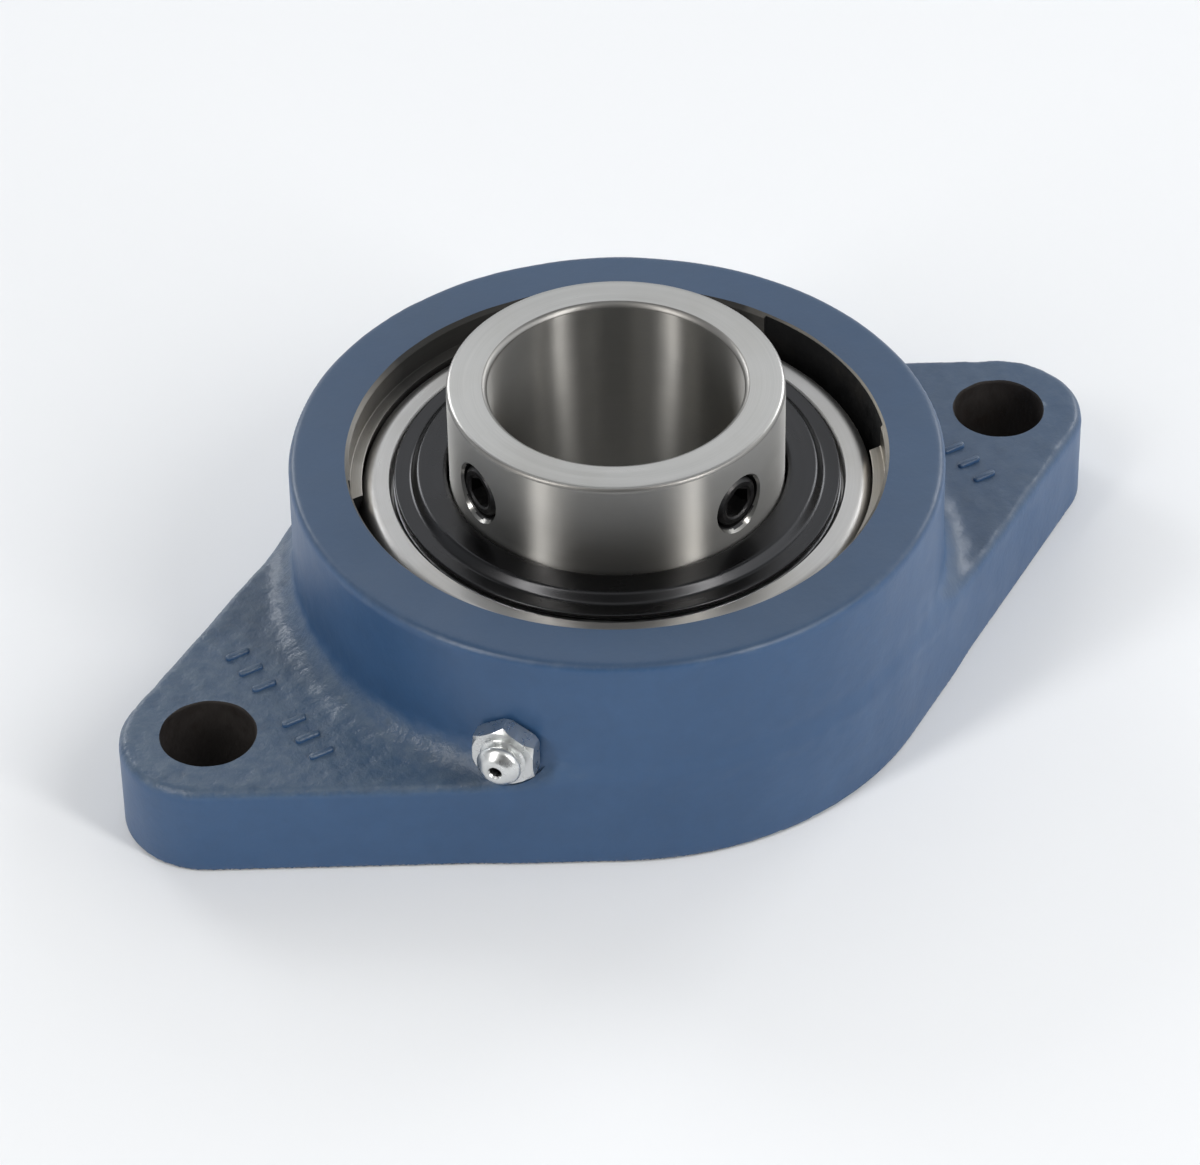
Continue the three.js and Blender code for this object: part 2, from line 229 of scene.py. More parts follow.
# ------------------------------------------------------------------ material tools
class Nodes:
    def __init__(self, name):
        self.mat = bpy.data.materials.new(name)
        self.mat.use_nodes = True
        self.t = self.mat.node_tree
        self.t.nodes.clear()
        self.out = self.t.nodes.new("ShaderNodeOutputMaterial")
        self.bsdf = self.t.nodes.new("ShaderNodeBsdfPrincipled")
        self.t.links.new(self.bsdf.outputs[0], self.out.inputs[0])
        self.coord = self.t.nodes.new("ShaderNodeTexCoord").outputs["Object"]

    def link(self, a, b):
        self.t.links.new(a, b)

    def set(self, **kw):
        for k, v in kw.items():
            self.bsdf.inputs[k.replace("_", " ")].default_value = v

    def math(self, op, a, b=None, clamp=False):
        n = self.t.nodes.new("ShaderNodeMath")
        n.operation = op
        n.use_clamp = clamp
        for i, v in enumerate((a, b)):
            if v is None:
                continue
            if isinstance(v, (int, float)):
                n.inputs[i].default_value = v
            else:
                self.link(v, n.inputs[i])
        return n.outputs[0]

    def noise(self, scale, detail=3.0, rough=0.5, vector=None, kind="NOISE"):
        n = self.t.nodes.new("ShaderNodeTexNoise")
        n.inputs["Scale"].default_value = scale
        n.inputs["Detail"].default_value = detail
        n.inputs["Roughness"].default_value = rough
        self.link(vector if vector is not None else self.coord, n.inputs["Vector"])
        return n.outputs["Fac"]

    def ramp(self, fac, stops):
        n = self.t.nodes.new("ShaderNodeValToRGB")
        e = n.color_ramp.elements
        while len(e) < len(stops):
            e.new(0.5)
        for i, (p, c) in enumerate(stops):
            e[i].position = p
            e[i].color = (*c, 1.0) if len(c) == 3 else c
        self.link(fac, n.inputs[0])
        return n.outputs[0]

    def span(self, fac, a, b, lo, hi):
        n = self.t.nodes.new("ShaderNodeMapRange")
        n.inputs["From Min"].default_value = a
        n.inputs["From Max"].default_value = b
        n.inputs["To Min"].default_value = lo
        n.inputs["To Max"].default_value = hi
        self.link(fac, n.inputs["Value"])
        return n.outputs["Result"]

    def mix(self, fac, a, b):
        n = self.t.nodes.new("ShaderNodeMix")
        n.data_type = "RGBA"
        if isinstance(fac, (int, float)):
            n.inputs[0].default_value = fac
        else:
            self.link(fac, n.inputs[0])
        for s, v in ((6, a), (7, b)):
            if isinstance(v, tuple):
                n.inputs[s].default_value = (*v, 1.0)
            else:
                self.link(v, n.inputs[s])
        return n.outputs[2]

    def bump(self, height, strength, distance, normal=None):
        n = self.t.nodes.new("ShaderNodeBump")
        n.inputs["Strength"].default_value = strength
        n.inputs["Distance"].default_value = distance
        self.link(height, n.inputs["Height"])
        if normal is not None:
            self.link(normal, n.inputs["Normal"])
        return n.outputs[0]

    def polar(self, kr, ka, kz):
        """Vector (r*kr, angle*ka, z*kz) about the Z axis, for marks that run round a turned piece."""
        s = self.t.nodes.new("ShaderNodeSeparateXYZ")
        self.link(self.coord, s.inputs[0])
        x, y, z = s.outputs
        r = self.math("SQRT", self.math("ADD", self.math("MULTIPLY", x, x), self.math("MULTIPLY", y, y)))
        a = self.math("ARCTAN2", y, x)
        c = self.t.nodes.new("ShaderNodeCombineXYZ")
        self.link(self.math("MULTIPLY", r, kr), c.inputs[0])
        self.link(self.math("MULTIPLY", a, ka), c.inputs[1])
        self.link(self.math("MULTIPLY", z, kz), c.inputs[2])
        return c.outputs[0]


def painted_iron():
    n = Nodes("painted_casting_look")
    broad = n.noise(38.0, 4.0, 0.6)
    sand = n.noise(560.0, 4.0, 0.62)
    grain = n.noise(420.0, 3.0, 0.6)
    fine = n.noise(1500.0, 2.0, 0.5)
    geo = n.t.nodes.new("ShaderNodeNewGeometry")
    facing = n.t.nodes.new("ShaderNodeSeparateXYZ")
    n.link(geo.outputs["Normal"], facing.inputs[0])
    height = n.t.nodes.new("ShaderNodeSeparateXYZ")
    n.link(n.coord, height.inputs[0])
    upward = n.span(facing.outputs[2], 0.35, 0.85, 0.0, 1.0)
    low = n.span(height.outputs[2], 0.016, 0.022, 1.0, 0.0)
    # the ears and the round at the foot of the boss keep the rough sand-cast skin
    raw = n.math("MULTIPLY", n.span(facing.outputs[2], 0.12, 0.5, 0.0, 1.0), low)
    raw = n.math("MULTIPLY", raw, n.span(height.outputs[0], -0.03, 0.03, 1.0, 0.42))
    base = n.ramp(broad, [(0.3, (0.026, 0.072, 0.162)), (0.55, (0.031, 0.082, 0.181)), (0.75, (0.037, 0.092, 0.198))])
    base = n.mix(n.span(grain, 0.3, 0.75, 0.0, 0.20), base, (0.022, 0.052, 0.112))
    # up-facing faces are toned darker and greyer than the walls: partly dust and dried oil, partly painted tone for how
    # the light falls on the tops
    base = n.mix(n.math("MULTIPLY", upward, n.span(broad, 0.3, 0.7, 0.40, 0.58)), base, (0.028, 0.043, 0.064))
    dusty = n.math("MULTIPLY", raw, n.span(sand, 0.36, 0.68, 0.16, 0.50))
    base = n.mix(dusty, base, (0.108, 0.144, 0.180))
    base = n.mix(n.math("MULTIPLY", raw, n.span(n.noise(300.0, 5.0, 0.7), 0.56, 0.74, 0.0, 0.36)), base, (0.026, 0.042, 0.068))
    # thin paint on the edges shows a lighter grey-blue
    edge = n.span(geo.outputs["Pointiness"], 0.515, 0.60, 0.0, 1.0)
    speck = n.span(n.noise(260.0, 5.0, 0.7), 0.50, 0.66, 0.0, 1.0)
    wear = n.math("MULTIPLY", n.math("MULTIPLY", edge, speck, clamp=True), 0.65)
    base = n.mix(wear, base, (0.15, 0.19, 0.24))
    n.link(base, n.bsdf.inputs["Base Color"])
    n.link(n.span(n.noise(90.0, 3.0), 0.3, 0.7, 0.34, 0.44), n.bsdf.inputs["Roughness"])
    b = n.bump(broad, 0.20, 0.0009)
    b = n.bump(n.math("MULTIPLY", sand, raw), 0.55, 0.00050, b)
    b = n.bump(grain, 0.28, 0.00020, b)
    b = n.bump(fine, 0.25, 0.00005, b)
    n.link(b, n.bsdf.inputs["Normal"])
    n.set(Specular_IOR_Level=0.5, IOR=1.5)
    return n.mat


def turned_steel(name, tint, rough, groove=9000.0, aniso=0.6, oil=0.0, mark=0.00001, rust=0.0, depth=0.80, cut=0.12, painted_shade=False, vary=1.0):
    n = Nodes(name)
    lines = n.noise(1.0, 2.0, 0.6, n.polar(groove, 1.1, groove))
    wide = n.noise(1.0, 3.0, 0.6, n.polar(groove * 0.12, 0.7, groove * 0.12))
    cloud = n.noise(60.0, 4.0, 0.6)
    dark = tuple(c * depth for c in tint)
    base = n.mix(n.span(lines, 0.3, 0.7, 0.0, 1.0), dark, tint)
    base = n.mix(n.span(cloud, 0.45, 0.75, 0.0, 0.35), base, tuple(c * k for c, k in zip(tint, (0.82, 0.79, 0.74))))
    if oil:
        base = n.mix(n.span(n.noise(24.0, 5.0, 0.7), 0.42, 0.70, 0.0, oil), base, (0.27, 0.215, 0.13))
    if rust:
        base = n.mix(n.span(n.noise(170.0, 6.0, 0.75), 0.55, 0.72, 0.0, rust), base, (0.16, 0.085, 0.045))
    if painted_shade:
        # painted shade: on one side of the mouth the seat is darkened to near black, made less metallic and rougher,
        # standing in for the shade and dark reflections there
        s = n.t.nodes.new("ShaderNodeSeparateXYZ")
        n.link(n.coord, s.inputs[0])
        ang = n.math("ADD", n.math("ARCTAN2", s.outputs[1], s.outputs[0]), n.span(cloud, 0.3, 0.7, -0.12, 0.12))
        far_side_shade = n.math("MULTIPLY", n.span(ang, 0.32, 0.50, 0.0, 1.0), n.span(ang, 1.95, 2.45, 1.0, 0.0))
        base = n.mix(n.math("MULTIPLY", far_side_shade, 0.95), base, (0.012, 0.011, 0.010))
        n.link(n.math("SUBTRACT", 1.0, n.math("MULTIPLY", far_side_shade, 0.9)), n.bsdf.inputs["Metallic"])
    n.link(base, n.bsdf.inputs["Base Color"])
    r = n.math("ADD", n.span(wide, 0.3, 0.7, rough * (1 - 0.18 * vary), rough * (1 + 0.20 * vary)), n.span(cloud, 0.3, 0.7, 0.0, 0.06))
    if painted_shade:
        r = n.math("ADD", r, n.math("MULTIPLY", far_side_shade, 0.32))
    n.link(r, n.bsdf.inputs["Roughness"])
    n.link(n.bump(wide, 0.4 * cut, mark, n.bump(lines, cut, mark)), n.bsdf.inputs["Normal"])
    n.set(Metallic=1.0, Anisotropic=aniso, Anisotropic_Rotation=0.25)
    tan = n.t.nodes.new("ShaderNodeTangent")
    tan.direction_type = "RADIAL"
    tan.axis = "Z"
    n.link(tan.outputs[0], n.bsdf.inputs["Tangent"])
    return n.mat


def plain_metal(name, tint, rough, metallic=1.0, grain=900.0, spread=0.25, second=None):
    n = Nodes(name)
    a = n.noise(grain, 3.0, 0.6)
    c = n.noise(grain * 0.12, 4.0, 0.6)
    base = n.mix(n.span(c, 0.35, 0.7, 0.0, 1.0), tint, tuple(v * (1 - spread) for v in tint))
    if second is not None:
        base = n.mix(n.span(n.noise(grain * 0.3, 5.0, 0.7), 0.52, 0.72, 0.0, 0.7), base, second)
    n.link(base, n.bsdf.inputs["Base Color"])
    n.link(n.span(a, 0.3, 0.7, rough * 0.8, rough * 1.25), n.bsdf.inputs["Roughness"])
    n.link(n.bump(a, 0.2, 0.00003, n.bump(c, 0.15, 0.00010)), n.bsdf.inputs["Normal"])
    n.set(Metallic=metallic)
    return n.mat


def black_rubber():
    n = Nodes("seal_rubber_look")
    a = n.noise(700.0, 3.0, 0.6)
    n.link(n.ramp(a, [(0.3, (0.010, 0.010, 0.011)), (0.7, (0.020, 0.020, 0.021))]), n.bsdf.inputs["Base Color"])
    n.link(n.span(a, 0.3, 0.7, 0.55, 0.75), n.bsdf.inputs["Roughness"])
    n.link(n.bump(a, 0.3, 0.00004), n.bsdf.inputs["Normal"])
    return n.mat


MAT_PAINT = painted_iron()
# the machined seat carries painted shade on the far side of the mouth
MAT_SEAT = turned_steel("machined_seat_look", (0.30, 0.285, 0.262), 0.34, groove=5200.0, aniso=0.35, oil=0.35, mark=0.00003, painted_shade=True)
MAT_HOLE = plain_metal("bare_hole_look", (0.050, 0.043, 0.040), 0.62, 0.5, 700.0, 0.4, (0.030, 0.020, 0.015))
# near-black slot walls: partly their dark cast skin, partly painted shade deep in the loading slots
MAT_SLOT = plain_metal("slot_wall_look", (0.012, 0.012, 0.013), 0.55, 0.2, 500.0, 0.5, (0.03, 0.026, 0.022))
MAT_BACK = turned_steel("faced_back_look", (0.42, 0.42, 0.41), 0.38, groove=2600.0, aniso=0.3, oil=0.3, mark=0.00004, rust=0.35)
MAT_RING = turned_steel("ground_ring_look", (0.45, 0.44, 0.42), 0.31, groove=9000.0, aniso=1.0, depth=0.97, cut=0.0, vary=0.2)
MAT_EDGE = turned_steel("collar_edge_look", (0.27, 0.262, 0.250), 0.36, groove=9000.0, aniso=0.2, depth=0.93, cut=0.05)
MAT_FACE = turned_steel("ground_face_look", (0.47, 0.465, 0.452), 0.30, groove=9000.0, aniso=0.35, depth=0.92, cut=0.05)
MAT_OUTER = turned_steel("outer_ring_look", (0.48, 0.473, 0.465), 0.32, groove=8000.0, aniso=0.4, oil=0.15, depth=0.92, cut=0.06)
MAT_SLINGER = turned_steel("dark_slinger_look", (0.046, 0.046, 0.048), 0.24, groove=1500.0, aniso=0.0, depth=0.93, cut=0.012)
MAT_BLACK = plain_metal("black_oxide_look", (0.045, 0.044, 0.045), 0.38, 0.9, 1200.0, 0.35, (0.11, 0.105, 0.10))
MAT_ZINC = plain_metal("zinc_plate_look", (0.74, 0.75, 0.745), 0.30, 1.0, 700.0, 0.12, (0.60, 0.61, 0.59))
MAT_BALL = plain_metal("ball_look", (0.78, 0.78, 0.79), 0.08, 1.0, 300.0, 0.06)
MAT_CAGE = plain_metal("cage_look", (0.52, 0.52, 0.53), 0.36, 1.0, 600.0, 0.2)
MAT_RUBBER = black_rubber()


# ------------------------------------------------------------------ housing
EAR, EAR_R, BOSS_R, BOSS_TOP, FLANGE_T = 65.0, 12.5, 45.5, 34.5, 14.0
NIPPLE_AZ, NIPPLE_Z, CZ = -140.2, 19.6, 21.0


def outline_distance(x, y):
    px, py = np.abs(y), np.abs(x)
    b = (BOSS_R - EAR_R) / EAR
    a = math.sqrt(1 - b * b)
    k = -b * px + a * py
    d = a * px + b * py - BOSS_R
    d = np.where(k < 0, np.hypot(px, py) - BOSS_R, d)
    return np.where(k > a * EAR, np.hypot(px, py - EAR) - EAR_R, d)


def round_meet(a, b, r):
    """Intersection of two fields with its corner rounded."""
    u, v = np.maximum(r + a, 0), np.maximum(r + b, 0)
    return np.minimum(-r, np.maximum(a, b)) + np.hypot(u, v)


def round_join(a, b, r):
    """Union of two fields with its inner corner filled by a round."""
    u, v = np.maximum(r - a, 0), np.maximum(r - b, 0)
    return np.maximum(r, np.minimum(a, b)) - np.hypot(u, v)


WAVES = np.random.default_rng(7)
WAVE_DIR = WAVES.normal(size=(14, 3))
WAVE_DIR /= np.linalg.norm(WAVE_DIR, axis=1)[:, None]
WAVE_LEN = WAVES.uniform(7.0, 26.0, size=14)
WAVE_PH = WAVES.uniform(0, 6.28, size=14)
SAND_DIR = WAVES.normal(size=(22, 3))
SAND_DIR /= np.linalg.norm(SAND_DIR, axis=1)[:, None]
SAND_LEN = WAVES.uniform(1.9, 5.0, size=22)
SAND_PH = WAVES.uniform(0, 6.28, size=22)


def cast_field(x, y, z):
    """Distance-like field of the raw casting, in millimetres."""
    d2 = outline_distance(x, y)
    side = d2 + 0.022 * z
    top = z - FLANGE_T
    flange = round_meet(side, top, 1.5)
    rad = np.hypot(x, y)
    boss = round_meet(rad - (BOSS_R - 0.013 * z), z - BOSS_TOP, 1.1)
    body = round_join(flange, boss, 4.8)
    body = round_meet(body, d2 + 0.0, 0.9)
    body = round_meet(body, -z, 0.45)
    w = 0.0
    for d, l, p in zip(WAVE_DIR, WAVE_LEN, WAVE_PH):
        w = w + np.sin((d[0] * x + d[1] * y + d[2] * z) * (2 * math.pi / l) + p)
    calm = np.clip((z - 0.2) / 2.0, 0, 1)
    s = 0.0
    for d, l, p in zip(SAND_DIR, SAND_LEN, SAND_PH):
        s = s + np.sin((d[0] * x + d[1] * y + d[2] * z) * (2 * math.pi / l) + p)
    raw = np.clip((z - 11.5) / 2.0, 0, 1) * np.clip((25.0 - z) / 7.0, 0, 1)
    return body + 0.030 + 0.012 * w * calm + 0.0105 * s * raw


def surface_net(field, lo, hi, step):
    ax = [np.arange(lo[i], hi[i] + step, step) for i in range(3)]
    nx, ny, nz = (len(a) for a in ax)
    F = np.empty((nx, ny, nz), dtype=np.float32)
    Y, Z = np.meshgrid(ax[1], ax[2], indexing="ij")
    for i0 in range(0, nx, 16):
        xs = ax[0][i0:i0 + 16]
        F[i0:i0 + 16] = field(xs[:, None, None], Y[None], Z[None])
    S = F < 0
    corners = [(i, j, k) for i in (0, 1) for j in (0, 1) for k in (0, 1)]
    view = lambda A, c: A[c[0]:nx - 1 + c[0], c[1]:ny - 1 + c[1], c[2]:nz - 1 + c[2]]
    count = np.zeros((nx - 1, ny - 1, nz - 1), dtype=np.int8)
    for c in corners:
        count += view(S, c)
    active = (count > 0) & (count < 8)
    cells = np.argwhere(active)
    ids = -np.ones(active.shape, dtype=np.int64)
    ids[active] = np.arange(len(cells))
    acc = np.zeros((len(cells), 3))
    num = np.zeros(len(cells))
    for a in corners:
        for ax_i in range(3):
            if a[ax_i]:
                continue
            b = list(a)
            b[ax_i] = 1
            fa = F[cells[:, 0] + a[0], cells[:, 1] + a[1], cells[:, 2] + a[2]]
            fb = F[cells[:, 0] + b[0], cells[:, 1] + b[1], cells[:, 2] + b[2]]
            cross = (fa < 0) != (fb < 0)
            t = np.where(cross, fa / np.where(cross, fa - fb, 1), 0)
            p = np.array(a, dtype=float)[None, :].repeat(len(cells), 0)
            p[:, ax_i] += t
            acc += p * cross[:, None]
            num += cross
    verts = np.array(lo)[None] + (cells + acc / num[:, None]) * step
    quads = []
    for ax_i in range(3):
        A = [slice(None)] * 3
        B = [slice(None)] * 3
        A[ax_i], B[ax_i] = slice(0, -1), slice(1, None)
        flip = S[tuple(A)] != S[tuple(B)]
        edges = np.argwhere(flip)
        inside_first = S[tuple(A)][flip]
        u, v = [(1, 2), (2, 0), (0, 1)][ax_i]
        ok = np.ones(len(edges), dtype=bool)
        for q in (u, v):
            ok &= (edges[:, q] > 0) & (edges[:, q] < (nx, ny, nz)[q] - 1)
        edges, inside_first = edges[ok], inside_first[ok]
        ring = []
        for du, dv in ((-1, -1), (0, -1), (0, 0), (-1, 0)):
            c = edges.copy()
            c[:, u] += du
            c[:, v] += dv
            ring.append(ids[c[:, 0], c[:, 1], c[:, 2]])
        q = np.stack(ring, axis=1)
        q[~inside_first] = q[~inside_first][:, ::-1]
        quads.append(q)
    quads = np.concatenate(quads)
    h = 0.05
    for _ in range(3):
        x, y, z = verts.T
        f = field(x, y, z)
        g = np.stack([
            field(x + h, y, z) - field(x - h, y, z),
            field(x, y + h, z) - field(x, y - h, z),
            field(x, y, z + h) - field(x, y, z - h)], axis=1) / (2 * h)
        move = -(f / np.maximum((g * g).sum(1), 0.25))[:, None] * g
        size = np.linalg.norm(move, axis=1, keepdims=True)
        verts = verts + move * np.minimum(1, 0.4 * step / np.maximum(size, 1e-9))
    return verts, quads


def cast_body():
    v, q = surface_net(cast_field, (-78.6, -46.6, -1.1), (78.6, 46.6, 35.6), 0.60)
    me = bpy.data.meshes.new("housing_casting")
    me.vertices.add(len(v))
    me.vertices.foreach_set("co", (v * MM).astype(np.float32).ravel())
    me.loops.add(q.size)
    me.loops.foreach_set("vertex_index", q.ravel().astype(np.int32))
    me.polygons.add(len(q))
    me.polygons.foreach_set("loop_start", np.arange(0, q.size, 4, dtype=np.int32))
    me.update()
    me.validate()
    ob = bpy.data.objects.new("housing_casting", me)
    bpy.context.scene.collection.objects.link(ob)
    return ob


def seat_cutter():
    R = 36.4
    ang = lambda z: math.degrees(math.asin((z - CZ) / R))
    z_rear = CZ - math.sqrt(R * R - 34.0 ** 2)
    prof = [(0, -1.5), (36.2, -1.5), (34.8, -0.05), (34.0, 0.8)]
    prof += arc(0, CZ, R, ang(z_rear), ang(15.0), 8)
    prof += [(37.1, 15.05), (37.1, 20.45)]
    prof += arc(0, CZ, R, ang(20.5), ang(30.35), 12)
    prof += [(35.15, 30.5), (35.25, 30.55), (36.7, 30.55), (36.8, 30.65), (36.8, 33.85), (37.35, 34.5), (38.28, 35.6), (0, 35.6)]
    return turned_mesh(prof, 200)


def slot_cutter(side):
    n = 28
    half, r_in, r_out, z0, z1 = 14.7, 33.0, 37.08, 21.0, 34.2
    outer, inner = [], []
    for i in range(n + 1):
        y = -half + 2 * half * i / n
        outer.append((math.sqrt(r_out ** 2 - y * y), y))
        inner.append((r_in * 0.92, y))
    loop = outer + inner[::-1]
    k = len(loop)
    v = [(side * x, y, z0) for x, y in loop] + [(side * x, y, z1) for x, y in loop]
    f = [tuple(range(k - 1, -1, -1)), tuple(range(k, 2 * k))]
    f += [(i, (i + 1) % k, k + (i + 1) % k, k + i) for i in range(k)]
    return np.array(v), f


def pill(x0, x1, y, r, z0, z1, n=9):
    levels = [(z0, r), (z1 - 0.28, r), (z1 - 0.10, r - 0.09), (z1, r - 0.26)]
    v, f = [], []
    for z, q in levels:
        for cx_, a0 in ((x1, -90), (x0, 90)):
            for i in range(n):
                a = math.radians(a0 + 180 * i / (n - 1))
                v.append((cx_ + q * math.cos(a), y + q * math.sin(a), z))
    k = 2 * n
    for lv in range(len(levels) - 1):
        f += [(lv * k + i, lv * k + (i + 1) % k, (lv + 1) * k + (i + 1) % k, (lv + 1) * k + i) for i in range(k)]
    f += [tuple(range(k - 1, -1, -1)), tuple(range(3 * k, 4 * k))]
    return np.array(v, dtype=float), f


def raised_marks():
    parts = [pill(-55.4, -52.8, y, 0.5, 13.2, 14.55) for y in (-11.8, -8.0, -4.2, 4.2, 8.0, 11.8)]
    return parts + [pill(52.8, 55.4, y, 0.5, 13.2, 14.55) for y in (-11.8, -8.0, -4.2)]


def build_housing():
    ob = cast_body()
    boolean(ob, joined("raised_marks", raised_marks()), "UNION")
    v, f = seat_cutter()
    boolean(ob, link("cut_seat", v, f))
    parts = [slot_cutter(1), slot_cutter(-1)]
    for s in (-1, 1):
        v, f = turned_mesh([(0, -2), (7.8, -2), (6.45, 0.25), (6.45, 13.7), (6.62, 13.98), (7.4, 15.5), (0, 15.5)], 96)
        parts.append((v + np.array([s * EAR, 0, 0]), f))
    v, f = turned_mesh([(0, 34.5), (3.1, 34.5), (3.1, 44.8), (3.6, 45.28), (5.5, 45.3), (5.6, 58.0), (0, 58.0)], 48)
    parts.append((aim_radial(v, NIPPLE_AZ, NIPPLE_Z), f))
    boolean(ob, joined("cut_rest", parts))
    me = ob.data
    me.materials.clear()
    for mat in (MAT_PAINT, MAT_SEAT, MAT_HOLE, MAT_BACK, MAT_SLOT):
        me.materials.append(mat)
    n = len(me.polygons)
    c = np.empty(n * 3, dtype=np.float32)
    nm = np.empty(n * 3, dtype=np.float32)
    me.polygons.foreach_get("center", c)
    me.polygons.foreach_get("normal", nm)
    c, nm = c.reshape(-1, 3) / MM, nm.reshape(-1, 3)
    r = np.hypot(c[:, 0], c[:, 1])
    outward = (c[:, 0] * nm[:, 0] + c[:, 1] * nm[:, 1]) / np.maximum(r, 1e-6)
    idx = np.zeros(n, dtype=np.int32)
    idx[(c[:, 2] < 0.06) & (nm[:, 2] < -0.9)] = 3
    idx[(r < 37.6) & ~((c[:, 2] > 34.30) & (nm[:, 2] > 0.97)) & ((r < 36.0) | (outward < 0.5))] = 1
    slot_wall = (r < 37.3) & (np.abs(c[:, 1]) < 14.8) & (c[:, 2] > 20.9) & (c[:, 2] < 34.19) & (
        (r > 36.9) | (np.abs(np.abs(c[:, 1]) - 14.7) < 0.05) | ((c[:, 2] < 21.1) & (nm[:, 2] > 0.9)))
    idx[slot_wall] = 4
    for s in (-1, 1):
        rr = np.hypot(c[:, 0] - s * EAR, c[:, 1])
        idx[(rr < 6.9) & (np.abs(nm[:, 2]) < 0.9)] = 2
    tap = np.array([math.cos(math.radians(NIPPLE_AZ)), math.sin(math.radians(NIPPLE_AZ)), 0])
    along = c @ tap
    off = np.linalg.norm(c - np.array([0, 0, NIPPLE_Z]) - along[:, None] * tap[None] , axis=1)
    idx[(off < 3.65) & (along > 37.0) & (along < 45.27)] = 2
    me.polygons.foreach_set("material_index", idx)
    shade(ob, 38)
    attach(ob, "housing_body")
    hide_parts("housing")
    return ob


build_housing()


# ------------------------------------------------------------------ insert rings
def build_outer_ring():
    z0, z1 = CZ - 9.5, CZ + 9.5
    gc, gr, land = 26.75 + 5.556 + 0.16 - 5.8, 5.8, 29.9
    a = math.degrees(math.acos((land - gc) / gr))
    r_oil = math.sqrt(36.0 ** 2 - 5.4 ** 2)
    ang = lambda z: math.degrees(math.asin((z - CZ) / 36.0))
    prof = [(33.35, z0), (33.75, z0 + 0.06), (34.25, z0 + 0.28), (34.66, z0 + 0.62)]
    prof += arc(0, CZ, 36.0, ang(z0 + 0.98), ang(14.6), 4)
    prof += [(r_oil - 0.7, 14.8), (r_oil - 0.7, 16.4)]
    prof += arc(0, CZ, 36.0, ang(16.6), ang(z1 - 0.98), 16)
    prof += [(34.66, z1 - 0.62), (34.25, z1 - 0.28), (33.75, z1 - 0.06), (33.35, z1), (31.45, z1), (31.2, z1 - 0.25), (31.2, CZ + 6.9), (land + 0.2, CZ + 6.9), (land, CZ + 6.7)]
    prof += arc(gc, CZ, gr, a, -a, 20)
    prof += [(land, CZ - 6.7), (land + 0.2, CZ - 6.9), (31.2, CZ - 6.9), (31.2, z0 + 0.25), (31.45, z0)]
    v, f = turned_mesh(prof, 160)
    ob = link("outer_ring_turned", v, f)
    v, f = turned_mesh([(0, 29), (0.85, 29), (0.85, 38), (0, 38)], 24)
    boolean(ob, link("cut_oil", aim_radial(v, NIPPLE_AZ + 3, 15.6), f))
    shade(ob, 32)
    place(ob, "outer_body", "outer_ring", slot="ground_ring_steel", material=MAT_OUTER)


def build_inner_ring():
    gc, gr, R = 26.75 - 5.556 - 0.16 + 5.8, 5.8, 23.05
    a = math.degrees(math.acos((gc - R) / gr))
    z0, z1, b = 3.5, 46.4, 17.5
    prof = [(b + 0.7, z0)] + [(R - 0.6, z0), (R - 0.15, z0 + 0.18), (R, z0 + 0.6)]
    prof += [(R, CZ - 8)] + arc(gc, CZ, gr, 180 + a, 180 - a, 20) + [(R, CZ + 8)]
    prof += [(R, z1 - 0.60), (R - 0.08, z1 - 0.28), (R - 0.28, z1 - 0.08), (R - 0.60, z1)]
    prof += [(b + 0.72, z1), (b + 0.48, z1 - 0.08), (b + 0.08, z1 - 0.52), (b, z1 - 0.74)]
    prof += [(b, z1 - 12), (b, z0 + 12), (b, z0 + 0.74), (b + 0.08, z0 + 0.52), (b + 0.48, z0 + 0.08)]
    v, f = turned_mesh(prof, 192)
    ob = link("inner_ring_ground", v, f)
    parts = []
    for az in (-177, -75.5):
        hole = [(0, 14), (4.0, 14), (4.0, 18.0)]
        z = 18.2
        while z < 21.4:
            hole += [(4.0, z), (3.82, z + 0.5)]
            z += 1.0
        hole += [(4.0, 22.15), (4.0, 22.3), (4.4, 22.85), (5.15, 23.95), (5.15, 28), (0, 28)]
        v, f = turned_mesh(hole, 56)
        parts.append((aim_radial(v, az, 37.9), f))
    boolean(ob, joined("cut_holes", parts))
    me = ob.data
    me.materials.clear()
    me.materials.append(MAT_RING)
    me.materials.append(MAT_BLACK)
    me.materials.append(MAT_FACE)
    me.materials.append(MAT_EDGE)
    idx = np.zeros(len(me.polygons), dtype=np.int32)
    c = np.empty(len(me.polygons) * 3, dtype=np.float32)
    nm = np.empty(len(me.polygons) * 3, dtype=np.float32)
    me.polygons.foreach_get("center", c)
    me.polygons.foreach_get("normal", nm)
    c, nm = c.reshape(-1, 3) / MM, nm.reshape(-1, 3)
    end = np.abs(c[:, 2] - 24.95) > 19
    idx[(np.abs(nm[:, 2]) > 0.10) & end] = 3
    idx[(np.abs(nm[:, 2]) > 0.97) & end] = 2
    for az in (-177, -75.5):
        d = np.array([math.cos(math.radians(az)), math.sin(math.radians(az)), 0])
        along = c @ d
        off = np.linalg.norm(c - np.array([0, 0, 37.9]) - along[:, None] * d[None], axis=1)
        idx[(off < 4.35) & (along > 0) & (np.hypot(c[:, 0], c[:, 1]) > 17.6) & (np.hypot(c[:, 0], c[:, 1]) < 22.6)] = 1
    me.polygons.foreach_set("material_index", idx)
    shade(ob, 32)
    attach(ob, "inner_body")
    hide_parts("inner_ring")


build_outer_ring()
build_inner_ring()


def mirrored(profile):
    return [(r, 2 * CZ - z) for r, z in profile]


